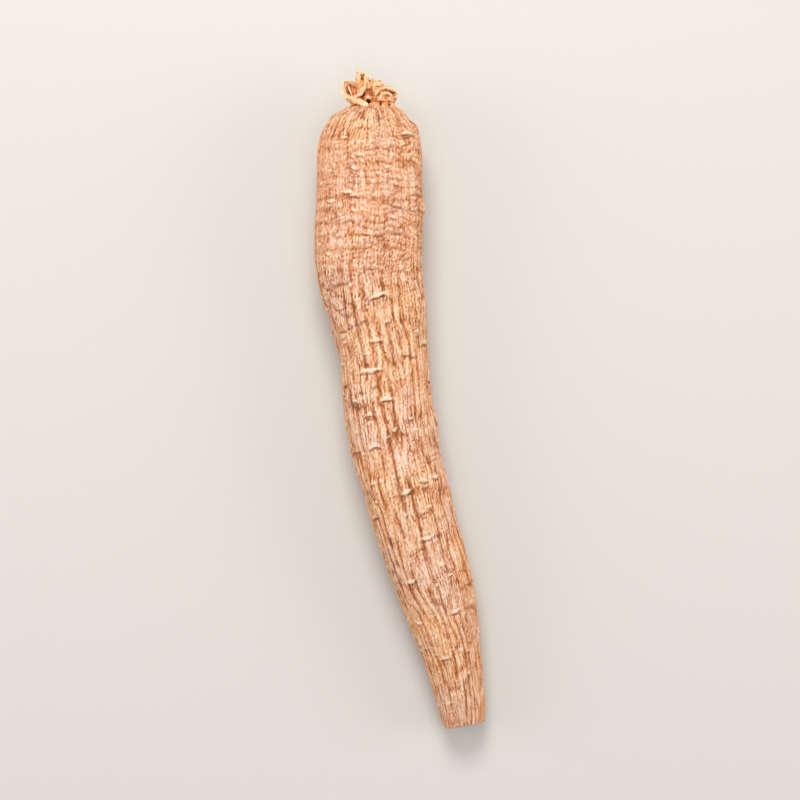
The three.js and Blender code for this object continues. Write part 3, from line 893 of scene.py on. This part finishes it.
skinColours = {
    "golden": (1.0, 0.94, 0.80, 1.0),
    "rosy": (0.97, 0.955, 1.0, 1.0),
    "blotchWarm": colour(214, 138, 84),
    "blotchGrey": colour(206, 160, 138),
    # painted shade at the root's sides, as seen from above
    "flankShade": colour(250, 234, 214),
    # pale dust on the crests, together with painted highlight
    "dustAndSheen": colour(247, 216, 193),
    # painted glints on the crests
    "glintSpeck": colour(255, 238, 218),
    "pit": colour(120, 68, 44),
    "scar": colour(255, 231, 204),
    # painted shadow in the cracks under the scars and in the creases
    "shadedCrack": colour(112, 62, 40),
}

# How strong each mark is, and the surface that both skins share
skinMix = {"streaks": 0.34, "dustAndSheen": 0.5, "specks": 0.75, "pits": 0.55, "scar": 0.85, "shadedCrack": 0.66,
           "grainHeight": 0.45, "lineDepth": 3.5, "pitDepth": 0.8, "bump": 0.9, "roughness": (0.62, 0.88),
           "specular": 0.32}

# Fineness and depth of the fibres, and how strong the blotches, the slow tint and the lines are
skinLooks = {
    "driedSkin": {"tones": skinTones, "fineness": 3.2, "bumpDepth": 0.16, "warm": 0.35, "grey": 0.35,
                  "tint": 1.0, "lines": 0.15},
    "neckBark": {"tones": neckTones, "fineness": 2.6, "bumpDepth": 0.12, "warm": 0.3, "grey": 0.06,
                 "tint": 0.2, "lines": 0.09},
}


def skinMaterial(name):
    look = skinLooks[name]
    material = bpy.data.materials.new(name)
    material.use_nodes = True
    tree = material.node_tree
    shader = tree.nodes["Principled BSDF"].inputs
    marks = {key: addNode(tree, "ShaderNodeAttribute", attribute_name=key).outputs["Fac"]
             for key in ("relief", "scar", "shadedCrack", "cut", "flankShade")}
    straight = addNode(tree, "ShaderNodeAttribute", attribute_name="straight").outputs["Vector"]
    fibre = addNode(tree, "ShaderNodeGroup", {"Place": straight, "Fineness": look["fineness"]},
                    node_tree=fibreStreaks).outputs
    mottle = addNode(tree, "ShaderNodeGroup", {"Place": straight, "Relief": marks["relief"]},
                     node_tree=skinMottle).outputs

    level = addTo(tree, fibre["Streaks"], skinMix["streaks"], -0.5 * skinMix["streaks"])
    level = addTo(tree, marks["relief"], 1.0, level)
    level = addTo(tree, fibre["Lines"], -look["lines"], level)
    shade = toned(tree, level, look["tones"])
    region = remap(tree, noise(tree, straight, 0.085, 2.0, 0.55, 0.4), 0.4, 0.6)
    tint = mixColour(tree, region, skinColours["golden"], skinColours["rosy"])
    shade = mixColour(tree, look["tint"], shade, tint, "MULTIPLY")
    # Among these marks, the flank tint is painted shade at the root's sides. The dust is partly and the specks
    # wholly painted highlight on the crests, and the crack colour is painted shadow in the cracks.
    for mark, strength, over, *blend in (
            (mottle["Blotch"], look["warm"], "blotchWarm"),
            (remap(tree, mottle["Blotch"], 0.45, 0.0), look["grey"], "blotchGrey"),
            (marks["flankShade"], 1.0, "flankShade", "MULTIPLY"),
            (mottle["DustAndSheen"], skinMix["dustAndSheen"], "dustAndSheen"),
            (mottle["GlintSpecks"], skinMix["specks"], "glintSpeck"),
            (mottle["Pits"], skinMix["pits"], "pit"),
            (marks["scar"], skinMix["scar"], "scar"),
            (marks["shadedCrack"], skinMix["shadedCrack"], "shadedCrack")):
        shade = mixColour(tree, multiply(tree, mark, strength), shade, skinColours[over], *blend)
    face = toned(tree, marks["cut"], cutTones)
    shade = mixColour(tree, remap(tree, marks["cut"], 0.02, 0.06), shade, face)

    height = addTo(tree, fibre["Grain"], skinMix["grainHeight"], fibre["Streaks"])
    height = addTo(tree, fibre["Lines"], -skinMix["lineDepth"] * look["lines"], height)
    height = addTo(tree, mottle["Pits"], -skinMix["pitDepth"], height)
    bumps = {"Height": height, "Strength": skinMix["bump"], "Distance": look["bumpDepth"] * mm}
    normal = addNode(tree, "ShaderNodeBump", bumps).outputs["Normal"]
    rough = remap(tree, fibre["Grain"], 0.3, 0.7, *skinMix["roughness"])
    send(tree, shader, {"Base Color": shade, "Roughness": rough, "Normal": normal})
    shader["Specular IOR Level"].default_value = skinMix["specular"]
    return material


driedSkin = skinMaterial("driedSkin")
neckBark = skinMaterial("neckBark")
print("materials ready")

ringedSkin, wrinkledSkin, skinPoints = buildSkins()
for skin in (ringedSkin, wrinkledSkin):
    skin.data.materials.append(driedSkin)
    print(skin.name, "has", len(skin.data.polygons), "faces")
rootNeck = buildNeck()
rootNeck.data.materials.append(neckBark)
print("neck has", len(rootNeck.data.polygons), "faces")

# Short dry rootlets that broke off near the skin. All of rootletForm goes to their node group.
rootletForm = {
    "Spacing": 4.0 * mm,  # the least between two
    "Density": 60000.0,  # to a square metre where they grow thickest
    "Length": 0.55 * mm,
    "Thickness": 0.17 * mm,
    "Droop": 1.9,  # towards the tail
    "Seed": 6,
}
stubForm = {  # one stub as long as 1, thick at its foot and broken at its end
    "path": ((0, 0, -0.3), (0, 0, 0.6), (0.35, 0.1, 1)),
    "steps": 6,
    "sides": 7,
    "taper": ((0.3, 0.8), (0.45, 0.5)),
    "endWidth": 0.42,
    "relief": (0.5, 0.75),
    "stray": 0.4,
    "sizes": (0.4, 1.5),
}
rootletPlaces = {
    "every": 4,  # rows and columns of the skin
    "height": (1.6, 3.0),  # mm above the floor
    "facingUp": (0.3, 0.8),
    "tailwards": (-15, 35),  # mm towards the tail
    "top": 36,
}


def rootletTree(material):
    tree = bpy.data.node_groups.new("rootletStubs", "GeometryNodeTree")
    tree.interface.new_socket("Skin", in_out="INPUT", socket_type="NodeSocketGeometry")
    for label, value in rootletForm.items():
        kind = "NodeSocketInt" if isinstance(value, int) else "NodeSocketFloat"
        tree.interface.new_socket(label, in_out="INPUT", socket_type=kind)
    tree.interface.new_socket("Stubs", in_out="OUTPUT", socket_type="NodeSocketGeometry")
    given = tree.nodes.new("NodeGroupInput").outputs

    def step(kind, values=None, **settings):
        return addNode(tree, "GeometryNode" + kind, values, **settings).outputs[0]

    where = step("InputNamedAttribute", {"Name": "rootlet"}, data_type="FLOAT")
    scatter = addNode(tree, "GeometryNodeDistributePointsOnFaces", {
        "Mesh": given["Skin"], "Distance Min": given["Spacing"], "Density Max": given["Density"],
        "Density Factor": where, "Seed": given["Seed"]},
        distribute_method="POISSON").outputs
    start, middle, end = stubForm["path"]
    path = step("CurveQuadraticBezier", {
        "Resolution": stubForm["steps"], "Start": start, "Middle": middle, "End": end})
    factor = step("SplineParameter")
    relief = remap(tree, factor, 0, 1, *stubForm["relief"])
    path = step("StoreNamedAttribute", {"Geometry": path, "Name": "relief", "Value": relief})
    taper = addNode(tree, "ShaderNodeFloatCurve", {"Value": factor})
    curve = taper.mapping.curves[0]
    curve.points[0].location = (0, 1)
    curve.points[1].location = (1, stubForm["endWidth"])
    for place, width in stubForm["taper"]:
        curve.points.new(place, width)
    taper.mapping.update()
    slim = mathNode(tree, "DIVIDE", given["Thickness"], given["Length"])
    profile = step("CurvePrimitiveCircle", {"Resolution": stubForm["sides"], "Radius": 1.0})
    width = multiply(tree, taper.outputs["Value"], slim)
    stub = step("CurveToMesh", {"Curve": path, "Profile Curve": profile, "Fill Caps": True, "Scale": width})

    def scattered(low, high, seed):
        first, output, kind = (0, 0, "FLOAT_VECTOR") if isinstance(low, tuple) else (2, 1, "FLOAT")
        values = {first: low, first + 1: high, "Seed": seed}
        return addNode(tree, "FunctionNodeRandomValue", values, data_type=kind).outputs[output]

    stray = scattered((-stubForm["stray"],) * 3, (stubForm["stray"],) * 3, 3)
    heading = vectorMath(tree, "ADD", vectorMath(tree, "ADD", scatter["Normal"], stray),
                         vectorMath(tree, "SCALE", (0.1, -1.0, 0.0), given["Droop"]))
    turn = addNode(tree, "FunctionNodeAlignRotationToVector", {"Vector": heading}, axis="Z").outputs[0]
    spin = scattered((0, 0, 0), (0, 0, 2 * math.pi), 4)
    turn = addNode(tree, "FunctionNodeRotateRotation", {"Rotation": turn, "Rotate By": spin},
                   rotation_space="LOCAL").outputs[0]
    size = multiply(tree, given["Length"], scattered(*stubForm["sizes"], 5))
    stubs = step("InstanceOnPoints", {
        "Points": scatter["Points"], "Instance": stub, "Rotation": turn, "Scale": size})
    stubs = step("RealizeInstances", {"Geometry": stubs})
    place = vectorMath(tree, "SCALE", step("InputPosition"), 1 / mm)
    stubs = step("StoreNamedAttribute", {"Geometry": stubs, "Name": "straight", "Value": place},
                 data_type="FLOAT_VECTOR")
    stubs = step("SetShadeSmooth", {"Geometry": stubs})
    stubs = step("SetMaterial", {"Geometry": stubs, "Material": material})
    tree.links.new(stubs, tree.nodes.new("NodeGroupOutput").inputs["Stubs"])
    return tree


def growRootlets():
    places = rootletPlaces
    coarse = skinPoints[::places["every"], ::places["every"]]
    y, height, facingUp = coarse[..., 1], coarse[..., 2], outward(coarse)[..., 2]
    where = (smoothstep(height, *places["height"]) * (1 - 0.85 * smoothstep(facingUp, *places["facingUp"]))
             * (0.2 + 0.8 * smoothstep(-y, *places["tailwards"])) * (y < places["top"]))
    faces = gridFaces(*coarse.shape[:2]).tolist()
    holder = makeMesh("rootletPlaces", coarse.reshape(-1, 3), faces, {"rootlet": where})
    tree = rootletTree(driedSkin)
    modifier = holder.modifiers.new("rootlets", "NODES")
    modifier.node_group = tree
    for item in tree.interface.items_tree:
        if item.in_out == "INPUT" and item.name in rootletForm:
            modifier[item.identifier] = rootletForm[item.name]
    evaluated = holder.evaluated_get(bpy.context.evaluated_depsgraph_get())
    mesh = bpy.data.meshes.new_from_object(evaluated)
    holder.modifiers.remove(modifier)
    bpy.data.objects.remove(holder)
    for vertex in mesh.vertices:
        vertex.co.z = max(vertex.co.z, 0.05 * mm)
    mesh.name = "rootletStubs"
    return addObject("rootletStubs", mesh)


rootletStubs = growRootlets()
print("rootlet stubs have", len(rootletStubs.data.polygons), "faces")

for piece in (ringedSkin, wrinkledSkin, rootNeck, rootletStubs):
    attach(piece, "root")
    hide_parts("ginseng_root")

# Floor, light and camera
studio = {
    "floorHalf": 1.5,
    "floorColour": colour(205, 202, 197),
    "floorRoughness": 0.9,
    "camera": (-0.0002, 0.0, 0.47),
    "lens": 135,
    "aim": (0, 0, 0.006),
    "lights": (  # name, place, size, watts, colour
        ("keyLight", (-0.03, 0.27, 0.34), 0.20, 1.25, (1.0, 0.97, 0.93)),
        ("topLight", (0.0, 0.0, 0.55), 0.5, 0.8, (1.0, 1.0, 1.0)),
        ("leftLight", (-0.42, 0.0, 0.18), 0.3, 0.55, (1.0, 0.99, 0.97)),
        ("rightLight", (0.42, 0.0, 0.18), 0.3, 0.65, (1.0, 0.99, 0.97)),
    ),
    "sky": 0.42,
}

half = studio["floorHalf"]
floorMesh = bpy.data.meshes.new("floor")
corners = [(x * half, y * half, 0) for x, y in ((-1, -1), (1, -1), (1, 1), (-1, 1))]
floorMesh.from_pydata(corners, [], [(0, 1, 2, 3)])
floor = addObject("floor", floorMesh)
floorMaterial = bpy.data.materials.new("paleFloor")
floorMaterial.use_nodes = True
floorShader = floorMaterial.node_tree.nodes["Principled BSDF"].inputs
floorShader["Base Color"].default_value = studio["floorColour"]
floorShader["Roughness"].default_value = studio["floorRoughness"]
floorMesh.materials.append(floorMaterial)

for name, place, size, watts, tint in studio["lights"]:
    lamp = bpy.data.lights.new(name, "AREA")
    lamp.shape = "DISK"
    lamp.size = size
    lamp.energy = watts
    lamp.color = tint
    holder = addObject(name, lamp)
    holder.location = place
    holder.rotation_mode = "QUATERNION"
    holder.rotation_quaternion = (Vector(studio["aim"]) - Vector(place)).to_track_quat("-Z", "Y")

sky = bpy.data.worlds.new("softRoom")
sky.use_nodes = True
background = sky.node_tree.nodes["Background"].inputs
background["Color"].default_value = (1, 1, 1, 1)
background["Strength"].default_value = studio["sky"]
bpy.context.scene.world = sky
bpy.context.scene.view_settings.view_transform = "Standard"

lens = bpy.data.cameras.new("overheadCamera")
lens.lens = studio["lens"]
camera = addObject("overheadCamera", lens)
camera.location = studio["camera"]
bpy.context.scene.camera = camera
print("studio ready")
